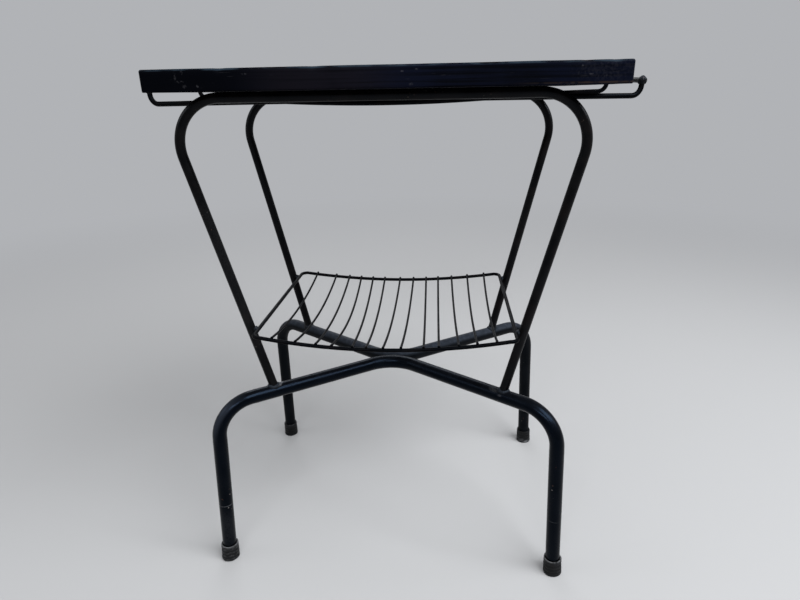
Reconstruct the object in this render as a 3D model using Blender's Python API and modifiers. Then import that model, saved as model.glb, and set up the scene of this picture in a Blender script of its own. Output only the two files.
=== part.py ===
"""Side table: a loose black board on a welded frame of bent tube, rod and wire.

Units are metres, +Z is up, the front faces -Y, and the floor is at Z = 0.
"""
import math

import bmesh
import bpy
from mathutils import Matrix, Quaternion, Vector

# Gap left between two pieces that touch or are welded
CLEARANCE = 0.0003

# Base: two bent tubes, each a V in plan, with their points back to back
BASE_TUBE_DIAMETER = 0.016
BASE_TUBE_WALL = 0.0015
BASE_LENGTH = 0.368            # between the axes of the left and right bends
BASE_DEPTH = 0.2512            # between the axes of the front and rear bends
BASE_HEIGHT = 0.205            # axis of the level run above the floor
BASE_BEND_RADIUS = 0.040
BASE_POINT_RADIUS = 0.047      # bend at the point of the V
LEG_SPLAY = 0.0080             # how far a leg leans sideways at the floor
STRAIGHT_LEG_SPLAY = 0.0018    # the same for the rear left leg, which stands straighter
LEG_SPLAY_DEPTH = 0.0058       # how far each leg leans to the front or the rear at the floor

# Rubber ferrules on the ends of the base tubes
FOOT_HEIGHT = 0.0205
FOOT_FLOOR = 0.005             # rubber under the end of the tube
FOOT_WALL = 0.0018
FOOT_FLARE = 0.0005            # extra radius at the bottom
FOOT_EDGE = 0.0012             # chamfer round the mouth and the bottom

# Upper frames: two inverted U shapes bent from round rod
ROD_DIAMETER = 0.010
UPPER_FRAME_RISE = 0.3184      # axis of the level run above the axis of the base run
UPPER_FRAME_LENGTH = 0.409     # between the points where run and leg axes cross
UPPER_FRAME_SPACING = 0.208    # between the axes of the two level runs
UPPER_FRAME_BEND_RADIUS = 0.045
ROD_STAND_SPACING = 0.258      # between the points where the rods stand on a base tube
LEG_FRAME_SHIFT = -0.006       # the legs stand this far left of the middle of the handles

# Board, which lies loose on the level runs
BOARD_LENGTH = 0.4195
BOARD_DEPTH = 0.280
BOARD_THICKNESS = 0.019
BOARD_EDGE_RADIUS = 0.0025
BOARD_SHIFT = 0.0006           # how far right of the middle of the handles it lies

# Magazine rack: a wire rim with sagging long sides, crossed by thin wires
RACK_RISE = 0.0782             # axis of the rim's corners above the axis of the base run
RACK_DEPTH = 0.2275            # between the axes of the long sides
RACK_FRONT_SAG = 0.012
RACK_REAR_SAG = 0.0092
RACK_RIM_DIAMETER = 0.0042
RACK_CORNER_RADIUS = 0.0075
RACK_WIRE_COUNT = 13
RACK_WIRE_DIAMETER = 0.0024
RACK_WIRE_PITCH = 0.0189       # between inner wires; the two outermost stand further apart
RACK_WIRE_SAG = 0.0125
RACK_WIRE_END = 0.0020         # length of a wire's end past the axis of the rim
RACK_END_GAP = 0.0225          # from the axis of the rim's end to the first wire
# The wires were set by hand: how far right of its even place each one's front and rear end lies
RACK_WIRE_STRAY = [
    (-0.006, 0.000), (0.001, 0.004), (0.004, 0.004), (0.008, 0.002), (0.005, 0.000),
    (0.001, -0.002), (0.000, 0.001), (0.000, 0.001), (0.005, 0.000), (0.002, -0.002),
    (0.004, -0.002), (0.004, 0.001), (0.001, 0.001)]

# Carrying handles: two wires under the runs with upturned ends, joined by rails
HANDLE_WIRE_DIAMETER = 0.005
HANDLE_FINGER_GAP = 0.0283     # from the end of a centred board to the wire
HANDLE_WIDTH = 0.124           # between the axes of the front and rear uprights
HANDLE_RISE = 0.0180           # top of an upright above the axis of the level wire
HANDLE_RAIL_RISE = 0.0135      # axis of an end rail above the axis of the level wire
HANDLE_LEAN = 0.0012           # how far an upright's top leans outwards
HANDLE_BEND_RADIUS = 0.009
HANDLE_SWEEP_RADIUS = 0.060    # slight bend where the wire leaves the run
HANDLE_WELD_SPACING = 0.200    # between the two welds of a wire
HANDLE_SAG = 0.0026            # bow of the wire between its welds
HANDLE_FRONT_DROOP = 0.001     # how far the front wire's ends hang below its welds
HANDLE_REAR_LIFT = 0.003       # how far the rear wire's ends rise above its welds
HANDLE_TUCK = 0.0066           # how far inside the axis of the run the wire lies under it

# Weld beads
ROD_WELD_SIZE = 0.003          # reach of the bead past the rod
RACK_WELD_SIZE = 0.0042
RAIL_WELD_SIZE = 0.0016        # reach of the bead past the upright and the rail
HANDLE_WELD_LENGTH = 0.016
HANDLE_WELD_SIZE = 0.0028
CENTRE_WELD_LENGTH = 0.019
CENTRE_WELD_WIDTH = 0.010
CENTRE_WELD_HEIGHT = 0.011

# Facets
TUBE_SIDES = 16
ROD_SIDES = 14
WIRE_SIDES = 10
THIN_WIRE_SIDES = 8
BEND_STEPS = 8
SMALL_BEND_STEPS = 5
SAG_STEPS = 10
BEAD_SEGMENTS = 14
TURN_STEPS = 24
ROUND_EDGE_STEPS = 3
DOME_STEPS = 3
SHARP_ANGLE = math.radians(40)
MERGE_DISTANCE = 0.00005

# Derived places
BASE_RADIUS = BASE_TUBE_DIAMETER / 2
ROD_RADIUS = ROD_DIAMETER / 2
RIM_RADIUS = RACK_RIM_DIAMETER / 2
RACK_WIRE_RADIUS = RACK_WIRE_DIAMETER / 2
HANDLE_RADIUS = HANDLE_WIRE_DIAMETER / 2
TOP_RUN_Z = BASE_HEIGHT + UPPER_FRAME_RISE
RACK_Z = BASE_HEIGHT + RACK_RISE
HANDLE_TOUCH = ROD_RADIUS + HANDLE_RADIUS + CLEARANCE
HANDLE_DROP = math.sqrt(HANDLE_TOUCH ** 2 - HANDLE_TUCK ** 2)
HANDLE_Z = TOP_RUN_Z - HANDLE_DROP
BOARD_Z = TOP_RUN_Z + ROD_RADIUS + CLEARANCE

SIDES = {"left": -1, "right": 1}
ENDS = {"front": -1, "rear": 1}
UP = Vector((0, 0, 1))


# Scene, finishes and helpers

def new_collection(name):
    collection = bpy.data.collections.new(name)
    bpy.context.scene.collection.children.link(collection)
    return collection


def finish(name, colour, roughness, metallic):
    material = bpy.data.materials.new(name)
    material.use_nodes = True
    shader = material.node_tree.nodes["Principled BSDF"]
    shader.inputs["Base Color"].default_value = (*colour, 1.0)
    shader.inputs["Roughness"].default_value = roughness
    shader.inputs["Metallic"].default_value = metallic
    return material


for old in list(bpy.data.objects):
    bpy.data.objects.remove(old, do_unlink=True)

parts = new_collection("side_table")
cutters = new_collection("side_table_cutters")
board_paint = finish("board_paint", (0.012, 0.012, 0.015), 0.42, 0.0)
frame_enamel = finish("frame_enamel", (0.010, 0.010, 0.012), 0.32, 0.0)
wire_enamel = finish("wire_enamel", (0.022, 0.023, 0.026), 0.45, 0.0)
weld_enamel = finish("weld_enamel", (0.020, 0.020, 0.022), 0.55, 0.0)
foot_rubber = finish("foot_rubber", (0.040, 0.037, 0.034), 0.80, 0.0)

# The leg frame and its rack hang on this empty, a little left of the handles
leg_frame = bpy.data.objects.new("leg_frame", None)
leg_frame.location.x = LEG_FRAME_SHIFT
parts.objects.link(leg_frame)


def rounded_path(corners, radii, steps):
    """Points along a polyline whose inner corners are replaced by arcs."""
    points = [corners[0]]
    for before, corner, after, radius in zip(corners, corners[1:], corners[2:], radii):
        back = (before - corner).normalized()
        onward = (after - corner).normalized()
        half_angle = back.angle(onward) / 2
        centre = corner + (back + onward).normalized() * radius / math.sin(half_angle)
        start = corner + back * radius / math.tan(half_angle) - centre
        end = corner + onward * radius / math.tan(half_angle) - centre
        turn = start.rotation_difference(end)
        for step in range(steps + 1):
            points.append(centre + Quaternion().slerp(turn, step / steps) @ start)
    points.append(corners[-1])
    return points


def at_end(end, *points):
    """Points worked out for the front, kept there or mirrored to the rear."""
    return [Vector((point.x, -end * point.y, point.z)) for point in points]


def add_part(name, data, material, parent=None):
    part = bpy.data.objects.new(name, data)
    parts.objects.link(part)
    part.parent = parent
    data.materials.append(material)
    if part.type == "MESH":
        data.shade_smooth()
        data.set_sharp_from_angle(angle=SHARP_ANGLE)
    return part


def add_cutter(name, mesh, parent=None):
    cutter = bpy.data.objects.new(name, mesh)
    cutters.objects.link(cutter)
    cutter.parent = parent
    cutter.hide_render = True
    cutter.display_type = "WIRE"
    return cutter


def cut(part, *tools):
    for tool in tools:
        boolean = part.modifiers.new("cut_" + tool.name, "BOOLEAN")
        boolean.operation = "DIFFERENCE"
        boolean.solver = "EXACT"
        boolean.object = tool


def domed(points, radius):
    """Points with both ends stepped as a dome, and the radius factor at each point."""
    angles = [math.pi / 2 * (step + 1) / DOME_STEPS for step in range(DOME_STEPS)]
    ends = []
    for tip, inner in ((points[0], points[1]), (points[-1], points[-2])):
        inwards = (inner - tip).normalized() * radius
        ends.append([tip + inwards * (1 - math.cos(angle)) for angle in angles])
    factors = [math.sin(angle) for angle in angles]
    whole = [1.0] * (len(points) - 2)
    return ends[0] + points[1:-1] + ends[1][::-1], factors + whole + factors[::-1]


def rod_curve(name, points, diameter, sides, closed=False, domes=False):
    """Round rod along the points, with flat or domed ends."""
    factors = [1.0] * len(points)
    if domes:
        points, factors = domed(points, diameter / 2)
    curve = bpy.data.curves.new(name, "CURVE")
    curve.dimensions = "3D"
    curve.bevel_depth = diameter / 2
    curve.bevel_resolution = sides // 2 - 2
    curve.use_fill_caps = not closed
    spline = curve.splines.new("POLY")
    spline.points.add(len(points) - 1)
    spline.use_cyclic_u = closed
    for spline_point, point, factor in zip(spline.points, points, factors):
        spline_point.co = (*point, 1.0)
        spline_point.radius = factor
    return curve


def rod_mesh(name, points, diameter, sides, closed=False):
    """The same rod as a closed mesh, with its end caps welded on."""
    guide = bpy.data.objects.new(name, rod_curve(name, points, diameter, sides, closed))
    parts.objects.link(guide)
    bpy.context.view_layer.update()
    depsgraph = bpy.context.evaluated_depsgraph_get()
    mesh = bpy.data.meshes.new_from_object(guide.evaluated_get(depsgraph))
    bpy.data.objects.remove(guide, do_unlink=True)
    shape = bmesh.new()
    shape.from_mesh(mesh)
    bmesh.ops.remove_doubles(shape, verts=shape.verts, dist=MERGE_DISTANCE)
    shape.to_mesh(mesh)
    shape.free()
    return mesh


def rod_envelope(name, points, diameter, sides, closed=False, parent=None):
    """Cutter of a rod's size with the clearance round it."""
    return add_cutter(name, rod_mesh(name, points, diameter + 2 * CLEARANCE, sides, closed), parent)


def box_mesh(name, size, centre):
    mesh = bpy.data.meshes.new(name)
    shape = bmesh.new()
    place = Matrix.Translation(centre) @ Matrix.Diagonal((*size, 1.0))
    bmesh.ops.create_cube(shape, size=1.0, matrix=place)
    shape.to_mesh(mesh)
    shape.free()
    return mesh


def add_bead(name, centre, half_size, joined, parent=None):
    """Weld bead: an ellipsoid cut by the envelopes of the pieces that it joins."""
    mesh = bpy.data.meshes.new(name)
    shape = bmesh.new()
    place = Matrix.Translation(centre) @ Matrix.Diagonal((*half_size, 1.0))
    bmesh.ops.create_uvsphere(
        shape, u_segments=BEAD_SEGMENTS, v_segments=BEAD_SEGMENTS // 2, radius=1.0, matrix=place)
    shape.to_mesh(mesh)
    shape.free()
    bead = add_part(name, mesh, weld_enamel, parent)
    cut(bead, *joined)
    return bead


# Base tubes

def base_corner(side):
    """Where the run and a leg of the front base tube would cross."""
    return Vector((side * BASE_LENGTH / 2, -BASE_DEPTH / 2, BASE_HEIGHT))


def leg_splay(side, end):
    is_rear_left = side == SIDES["left"] and end == ENDS["rear"]
    return STRAIGHT_LEG_SPLAY if is_rear_left else LEG_SPLAY


def base_foot(side, end):
    """Point on the floor under a leg's axis, as it lies before a rear leg is mirrored to the rear."""
    corner = base_corner(side)
    return Vector((corner.x + side * leg_splay(side, end), corner.y - LEG_SPLAY_DEPTH, 0))


def leg_axis(side, end):
    return (base_corner(side) - base_foot(side, end)).normalized()


def base_point():
    """Where the straight stretches of the front base tube would cross, past its rounded point."""
    point_y = BASE_RADIUS + CLEARANCE / 2
    across = BASE_DEPTH / 2 - point_y - BASE_POINT_RADIUS
    reach = math.hypot(BASE_LENGTH / 2, across)
    slope = math.atan2(across, BASE_LENGTH / 2) + math.asin(BASE_POINT_RADIUS / reach)
    return Vector((0, BASE_LENGTH / 2 * math.tan(slope) - BASE_DEPTH / 2, BASE_HEIGHT))


def base_path(end, end_height):
    """Axis of a base tube, with its ends this far up the legs."""
    feet = {side: base_foot(side, end) + leg_axis(side, end) * end_height for side in (-1, 1)}
    corners = [feet[-1], base_corner(-1), base_point(), base_corner(1), feet[1]]
    radii = [BASE_BEND_RADIUS, BASE_POINT_RADIUS, BASE_BEND_RADIUS]
    return at_end(end, *rounded_path(corners, radii, BEND_STEPS))


def build_base():
    """Two hollow tubes and the weld between their points; returns the tubes' envelopes."""
    bore_diameter = BASE_TUBE_DIAMETER - 2 * BASE_TUBE_WALL
    envelopes = {}
    for name, end in ENDS.items():
        points = base_path(end, FOOT_FLOOR + CLEARANCE)
        tube_name = name + "_base_tube"
        tube = add_part(
            tube_name, rod_mesh(tube_name, points, BASE_TUBE_DIAMETER, TUBE_SIDES), frame_enamel, leg_frame)
        bore_name = name + "_base_bore"
        bore = rod_mesh(bore_name, base_path(end, 0), bore_diameter, TUBE_SIDES)
        cut(tube, add_cutter(bore_name, bore, leg_frame))
        envelopes[name] = rod_envelope(
            name + "_base_envelope", points, BASE_TUBE_DIAMETER, TUBE_SIDES, parent=leg_frame)
    size = Vector((CENTRE_WELD_LENGTH, CENTRE_WELD_WIDTH, CENTRE_WELD_HEIGHT))
    add_bead("base_centre_weld", UP * BASE_HEIGHT, size / 2, envelopes.values(), leg_frame)
    return envelopes


# Feet

def foot_profile(side, end):
    """Half section of a ferrule: along the floor of its bore, over the mouth and down the outside."""
    bore = BASE_RADIUS + CLEARANCE
    mouth = bore + FOOT_WALL
    bottom = mouth + FOOT_FLARE
    below = -FOOT_EDGE - bottom * math.tan(leg_axis(side, end).angle(UP))
    return [
        (0, FOOT_FLOOR),
        (bore, FOOT_FLOOR),
        (bore, FOOT_HEIGHT),
        (mouth - FOOT_EDGE, FOOT_HEIGHT),
        (mouth, FOOT_HEIGHT - FOOT_EDGE),
        (bottom, 2 * FOOT_EDGE),
        (bottom - FOOT_EDGE, below),
        (0, below)]


def build_feet():
    """Four ferrules, turned about their legs and cut flat at the floor."""
    reach = 2 * max(BASE_LENGTH, BASE_DEPTH)
    block = box_mesh("floor_block", (reach, reach, FOOT_HEIGHT), -UP * FOOT_HEIGHT / 2)
    floor_block = add_cutter("floor_block", block)
    for end_name, end in ENDS.items():
        for side_name, side in SIDES.items():
            profile = foot_profile(side, end)
            edges = [(index, index + 1) for index in range(len(profile) - 1)]
            name = "foot_" + end_name + "_" + side_name
            mesh = bpy.data.meshes.new(name)
            mesh.from_pydata([(radius, 0, height) for radius, height in profile], edges, [])
            foot = add_part(name, mesh, foot_rubber, leg_frame)
            foot.location, axis = at_end(end, base_foot(side, end), leg_axis(side, end))
            foot.rotation_mode = "QUATERNION"
            foot.rotation_quaternion = UP.rotation_difference(axis)
            turn = foot.modifiers.new("turn", "SCREW")
            turn.steps = TURN_STEPS
            turn.render_steps = TURN_STEPS
            turn.use_merge_vertices = True
            turn.merge_threshold = MERGE_DISTANCE
            cut(foot, floor_block)


# Upper frames

def run_corner(side):
    """Where the level run and a leg of the front upper frame would cross."""
    return Vector((side * UPPER_FRAME_LENGTH / 2, -UPPER_FRAME_SPACING / 2, TOP_RUN_Z))


def rod_stand(side):
    """Point on the front base tube's axis under a rod."""
    return base_point().lerp(base_corner(side), ROD_STAND_SPACING / BASE_LENGTH)


def rod_at_height(side, height):
    """Point on the axis of a front rod's leg."""
    top = run_corner(side)
    stand = rod_stand(side)
    return top.lerp(stand, (top.z - height) / (top.z - stand.z))


def build_upper_frames(base_envelopes):
    """Two bent rods coped onto the base tubes, with a bead round each foot; returns their envelopes."""
    corners = [rod_stand(-1), run_corner(-1), run_corner(1), rod_stand(1)]
    axis = rounded_path(corners, [UPPER_FRAME_BEND_RADIUS] * 2, BEND_STEPS)
    bead_radius = ROD_RADIUS + ROD_WELD_SIZE
    envelopes = {}
    for name, end in ENDS.items():
        points = at_end(end, *axis)
        rod_name = name + "_upper_frame"
        rod = add_part(
            rod_name, rod_mesh(rod_name, points, ROD_DIAMETER, ROD_SIDES), frame_enamel, leg_frame)
        cut(rod, base_envelopes[name])
        envelopes[name] = rod_envelope(
            name + "_rod_envelope", points, ROD_DIAMETER, ROD_SIDES, parent=leg_frame)
        for side_name, side in SIDES.items():
            centre, = at_end(end, rod_at_height(side, BASE_HEIGHT + BASE_RADIUS))
            add_bead(
                "rod_weld_" + name + "_" + side_name, centre, [bead_radius] * 3,
                [base_envelopes[name], envelopes[name]], leg_frame)
    return envelopes


# Magazine rack

def rod_lean():
    """Sideways lean of a rod's leg."""
    rod = run_corner(1) - rod_stand(1)
    return math.atan2(rod.x, rod.z)


def rack_half_length():
    """Half the rim's length: its end rails touch the inner sides of the rods."""
    reach = (ROD_RADIUS + RIM_RADIUS + CLEARANCE) / math.cos(rod_lean())
    return rod_at_height(1, RACK_Z).x - reach


def rim_straight():
    """Half the length of a long side between the rim's corners."""
    return rack_half_length() - RACK_CORNER_RADIUS


def rim_sag(end):
    return RACK_FRONT_SAG if end < 0 else RACK_REAR_SAG


def rim_height(end, x):
    """Height of a long side's axis, which sags as a parabola."""
    return RACK_Z - rim_sag(end) * (1 - (x / rim_straight()) ** 2)


def rim_slope(end, x):
    return 2 * rim_sag(end) * x / rim_straight() ** 2


def rim_path():
    """Closed loop: each long side, then the two corners that lead to the other one."""
    half_depth = RACK_DEPTH / 2
    points = []
    for end in ENDS.values():
        for step in range(1, SAG_STEPS):
            x = -end * rim_straight() * (2 * step / SAG_STEPS - 1)
            points.append(Vector((x, end * half_depth, rim_height(end, x))))
        for turn, facing in enumerate((end, -end)):
            centre = Vector((-end * rim_straight(), facing * (half_depth - RACK_CORNER_RADIUS), RACK_Z))
            for step in range(SMALL_BEND_STEPS + 1):
                angle = math.pi / 2 * (turn + step / SMALL_BEND_STEPS)
                spoke = Vector((-end * math.sin(angle), end * math.cos(angle), 0))
                points.append(centre + spoke * RACK_CORNER_RADIUS)
    return points


def rack_wire_path(place):
    """Axis of a cross wire that lies on both long sides and sags; place gives its x at each end."""
    half_depth = RACK_DEPTH / 2
    rest = {end: rim_height(end, place[end]) for end in ENDS.values()}
    tilt = (rest[1] - rest[-1]) / RACK_DEPTH
    touch = RIM_RADIUS + RACK_WIRE_RADIUS + CLEARANCE
    lift = {}
    for end in ENDS.values():
        slope = 2 * RACK_WIRE_SAG / half_depth + end * tilt
        lift[end] = touch * math.sqrt(1 + slope ** 2 + rim_slope(end, place[end]) ** 2)
    points = []
    for step in range(SAG_STEPS + 1):
        y = (half_depth + RACK_WIRE_END) * (2 * step / SAG_STEPS - 1)
        share = (y / half_depth + 1) / 2
        x = (1 - share) * place[-1] + share * place[1]
        level = (1 - share) * (rest[-1] + lift[-1]) + share * (rest[1] + lift[1])
        points.append(Vector((x, y, level - RACK_WIRE_SAG * (1 - (y / half_depth) ** 2))))
    return points


def build_rack(rod_envelopes):
    rim_axis = rim_path()
    rim = rod_curve("rack_rim", rim_axis, RACK_RIM_DIAMETER, WIRE_SIDES, closed=True)
    add_part("rack_rim", rim, wire_enamel, leg_frame)
    envelope = rod_envelope(
        "rim_envelope", rim_axis, RACK_RIM_DIAMETER, WIRE_SIDES, closed=True, parent=leg_frame)
    for index in range(RACK_WIRE_COUNT):
        x = RACK_WIRE_PITCH * (index - (RACK_WIRE_COUNT - 1) / 2)
        if index in (0, RACK_WIRE_COUNT - 1):
            x = math.copysign(rack_half_length() - RACK_END_GAP, x)
        stray = RACK_WIRE_STRAY[index % len(RACK_WIRE_STRAY)]
        path = rack_wire_path({end: x + off for end, off in zip(ENDS.values(), stray)})
        name = f"rack_wire_{index + 1:02d}"
        wire = rod_curve(name, path, RACK_WIRE_DIAMETER, THIN_WIRE_SIDES)
        add_part(name, wire, wire_enamel, leg_frame)
    inwards = (ROD_RADIUS + CLEARANCE / 2) / math.cos(rod_lean())
    for end_name, end in ENDS.items():
        for side_name, side in SIDES.items():
            centre, = at_end(end, rod_at_height(side, RACK_Z))
            centre.x -= side * inwards
            add_bead(
                "rack_weld_" + end_name + "_" + side_name, centre, [RACK_WELD_SIZE] * 3,
                [rod_envelopes[end_name], envelope], leg_frame)


# Carrying handles

def handle_corner(side, end):
    """Where the level wire and an upright of a handle wire would cross, before the rear one is mirrored."""
    half_length = BOARD_LENGTH / 2 + HANDLE_FINGER_GAP + HANDLE_RADIUS
    rise = HANDLE_REAR_LIFT if end == ENDS["rear"] else -HANDLE_FRONT_DROOP
    return Vector((side * half_length, -HANDLE_WIDTH / 2, HANDLE_Z + rise))


def handle_side_path(side, end):
    """Axis of a wire from an upright's top to the inner end of its weld."""
    corner = handle_corner(side, end)
    top = corner + Vector((side * HANDLE_LEAN, 0, HANDLE_RISE))
    run_y = HANDLE_TUCK - UPPER_FRAME_SPACING / 2
    leaves_run = Vector((side * (HANDLE_WELD_SPACING / 2 + HANDLE_WELD_LENGTH), run_y, HANDLE_Z))
    weld_end = Vector((side * (HANDLE_WELD_SPACING - HANDLE_WELD_LENGTH) / 2, run_y, HANDLE_Z))
    return rounded_path(
        [top, corner, leaves_run, weld_end], [HANDLE_BEND_RADIUS, HANDLE_SWEEP_RADIUS], SMALL_BEND_STEPS)


def handle_path(end):
    """Whole axis of a wire, which bows down between its welds."""
    left = handle_side_path(-1, end)
    right = handle_side_path(1, end)
    half_bow = right[-1].x
    bow = []
    for step in range(1, SAG_STEPS):
        share = 2 * step / SAG_STEPS - 1
        bow.append(Vector((half_bow * share, right[-1].y, HANDLE_Z - HANDLE_SAG * (1 - share ** 2))))
    return at_end(end, *left, *bow, *right[::-1])


def handle_groove():
    """Directions from the front run's axis to the wire, and into the groove between them."""
    touch = Vector((0, HANDLE_TUCK, -HANDLE_DROP)) / HANDLE_TOUCH
    return touch, touch.cross(Vector((-1, 0, 0)))


def build_handles(rod_envelopes):
    bead_size = Vector((HANDLE_WELD_LENGTH / 2, HANDLE_WELD_SIZE, HANDLE_WELD_SIZE))
    envelopes = {}
    for name, end in ENDS.items():
        points = handle_path(end)
        wire_name = "handle_wire_" + name
        wire = rod_curve(wire_name, points, HANDLE_WIRE_DIAMETER, WIRE_SIDES, domes=True)
        add_part(wire_name, wire, wire_enamel)
        envelopes[name] = rod_envelope(name + "_handle_envelope", points, HANDLE_WIRE_DIAMETER, WIRE_SIDES)
        for side_name, side in SIDES.items():
            run = Vector((side * HANDLE_WELD_SPACING / 2, -UPPER_FRAME_SPACING / 2, TOP_RUN_Z))
            touch, groove = handle_groove()
            centre, = at_end(end, run + touch * (ROD_RADIUS + CLEARANCE / 2) + groove * HANDLE_WELD_SIZE)
            add_bead(
                "handle_weld_" + name + "_" + side_name, centre, bead_size,
                [rod_envelopes[name], envelopes[name]])
    bead_radius = HANDLE_RADIUS + RAIL_WELD_SIZE
    for side_name, side in SIDES.items():
        lean = side * HANDLE_LEAN * HANDLE_RAIL_RISE / HANDLE_RISE
        rail_ends = []
        for end in ENDS.values():
            rail_ends += at_end(end, handle_corner(side, end) + Vector((lean, 0, HANDLE_RAIL_RISE)))
        rail_name = "handle_rail_" + side_name
        rail = rod_mesh(rail_name, rail_ends, HANDLE_WIRE_DIAMETER, WIRE_SIDES)
        cut(add_part(rail_name, rail, wire_enamel), *envelopes.values())
        rail_envelope = rod_envelope(side_name + "_rail_envelope", rail_ends, HANDLE_WIRE_DIAMETER, WIRE_SIDES)
        for end_name, centre in zip(ENDS, rail_ends):
            add_bead(
                "rail_weld_" + end_name + "_" + side_name, centre, [bead_radius] * 3,
                [envelopes[end_name], rail_envelope])


# Board

def build_board():
    mesh = box_mesh("top_board", (BOARD_LENGTH, BOARD_DEPTH, BOARD_THICKNESS), UP * BOARD_THICKNESS / 2)
    board = add_part("top_board", mesh, board_paint)
    board.location = (BOARD_SHIFT, 0, BOARD_Z)
    edges = board.modifiers.new("rounded_edges", "BEVEL")
    edges.width = BOARD_EDGE_RADIUS
    edges.segments = ROUND_EDGE_STEPS


tube_envelopes = build_base()
build_feet()
upper_envelopes = build_upper_frames(tube_envelopes)
build_rack(upper_envelopes)
build_handles(upper_envelopes)
build_board()
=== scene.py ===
import bpy
import numpy as np
from mathutils import Matrix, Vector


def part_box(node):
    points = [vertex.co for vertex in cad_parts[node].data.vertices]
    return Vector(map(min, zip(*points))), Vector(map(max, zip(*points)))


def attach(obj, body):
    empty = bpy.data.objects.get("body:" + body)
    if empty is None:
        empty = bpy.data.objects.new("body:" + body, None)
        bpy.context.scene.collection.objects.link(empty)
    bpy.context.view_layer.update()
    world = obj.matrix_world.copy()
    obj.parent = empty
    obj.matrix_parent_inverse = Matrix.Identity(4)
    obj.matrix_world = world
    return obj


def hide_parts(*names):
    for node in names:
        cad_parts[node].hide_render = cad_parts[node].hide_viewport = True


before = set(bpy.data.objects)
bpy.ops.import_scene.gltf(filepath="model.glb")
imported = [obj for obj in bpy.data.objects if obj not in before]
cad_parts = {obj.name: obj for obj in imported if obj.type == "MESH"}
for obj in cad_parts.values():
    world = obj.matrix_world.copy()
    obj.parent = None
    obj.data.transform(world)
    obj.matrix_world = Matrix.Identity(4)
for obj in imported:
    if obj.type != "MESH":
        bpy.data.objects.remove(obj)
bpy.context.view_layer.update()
print("frame loaded with", len(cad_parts), "solids")

scene = bpy.context.scene
scene.view_settings.view_transform = "Standard"

ends = {"front": -1, "rear": 1}
sides = {"left": -1, "right": 1}
# the four corners: end, side, start of a piece's name and end of a node's name
frameCorners = [(end, side, endName + sideName.capitalize(), endName + "_" + sideName)
                for endName, end in ends.items() for sideName, side in sides.items()]
alongX, alongY, alongZ = np.eye(3)
fitGap = 0.0003  # gap that the solids leave between welded pieces
smallest = 1e-9  # added to lengths that are divided by

# the leg frame stands a little left of the handles
rimLow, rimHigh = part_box("rack_rim")
legShift = alongX * (rimLow[0] + rimHigh[0]) / 2

# shared path and surface tools
fewest = dict(straight=2, arc=8)  # points in a straight run and in a bend
domeShare = 0.47  # part of a half turn that a wire's dome covers before its flat cap
poleShare = 0.485  # part of a half turn that a bead's rows climb either way
drawn = dict(smooth=7, longWave=41, shortWave=97, shortShare=0.6, shortPhase=1.3)


def unit(vectors):
    # each vector over its own length
    return vectors / (np.linalg.norm(vectors, axis=-1, keepdims=True) + smallest)


def dot(first, second):
    # sum of the products of matching coordinates
    return (first * second).sum(-1)


def bell(distance, width):
    # e to the power of minus (distance / width) squared
    return np.exp(-(distance / width) ** 2)


def fullTurn(count):
    # evenly spaced angles of one turn
    return np.arange(count) * 2 * np.pi / count


def spokesRound(angle, first, second):
    # cos(a) * first + sin(a) * second
    return np.cos(angle)[:, None] * first + np.sin(angle)[:, None] * second


def mirrored(points, end):
    # points worked out for the front, kept or turned to the rear by changing the sign of y
    return points * np.array([1.0, -end, 1.0])


def straightRun(start, stop, step):
    # start + (stop - start) * s, with s from 0 up to but not reaching 1
    count = max(int(np.linalg.norm(stop - start) / step), fewest["straight"])
    return start + (stop - start) * np.linspace(0, 1, count, endpoint=False)[:, None]


def bentPath(corners, radii, step):
    # straight runs joined by arcs; an arc's point is centre + spoke * cos(a) + heading * sin(a)
    stretches = []
    last = corners[0]
    for before, corner, after, radius in zip(corners, corners[1:], corners[2:], radii):
        back, onward = unit(before - corner), unit(after - corner)
        half = np.arccos(np.clip(dot(back, onward), -1, 1)) / 2
        centre = corner + unit(back + onward) * radius / np.sin(half)
        start = corner + back * radius / np.tan(half)
        turn = np.pi - 2 * half
        count = max(int(radius * turn / step), fewest["arc"])
        angle = np.linspace(0, turn, count, endpoint=False)[:, None]
        stretches.append(straightRun(last, start, step))
        stretches.append(centre + (start - centre) * np.cos(angle) - back * radius * np.sin(angle))
        last = corner + onward * radius / np.tan(half)
    stretches.append(straightRun(last, corners[-1], step))
    stretches.append(corners[-1][None])
    return np.concatenate(stretches)


def lengthAlong(path):
    # running sum of the distances between neighbouring points
    return np.concatenate([[0.0], np.cumsum(np.linalg.norm(np.diff(path, axis=0), axis=1))])


def domedEnds(path, radius, rings):
    # ends grown by a dome: ring k lies radius * sin(b) further out and is cos(b) as wide
    lift = np.linspace(0, domeShare * np.pi, rings + 1)[1:]
    first, last = unit(path[0] - path[1]), unit(path[-1] - path[-2])
    inset = radius * np.sin(lift[-1])
    head = path[0] - first * inset + first * radius * np.sin(lift[::-1, None])
    tail = path[-1] - last * inset + last * radius * np.sin(lift[:, None])
    inner = path[1:-1]
    fromTips = [np.linalg.norm(inner - tip, axis=1) for tip in (path[0], path[-1])]
    kept = np.minimum(*fromTips) > inset
    factor = np.concatenate([np.cos(lift[::-1]), np.ones(kept.sum()), np.cos(lift)])
    return np.concatenate([head, inner[kept], tail]), radius * factor


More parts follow.
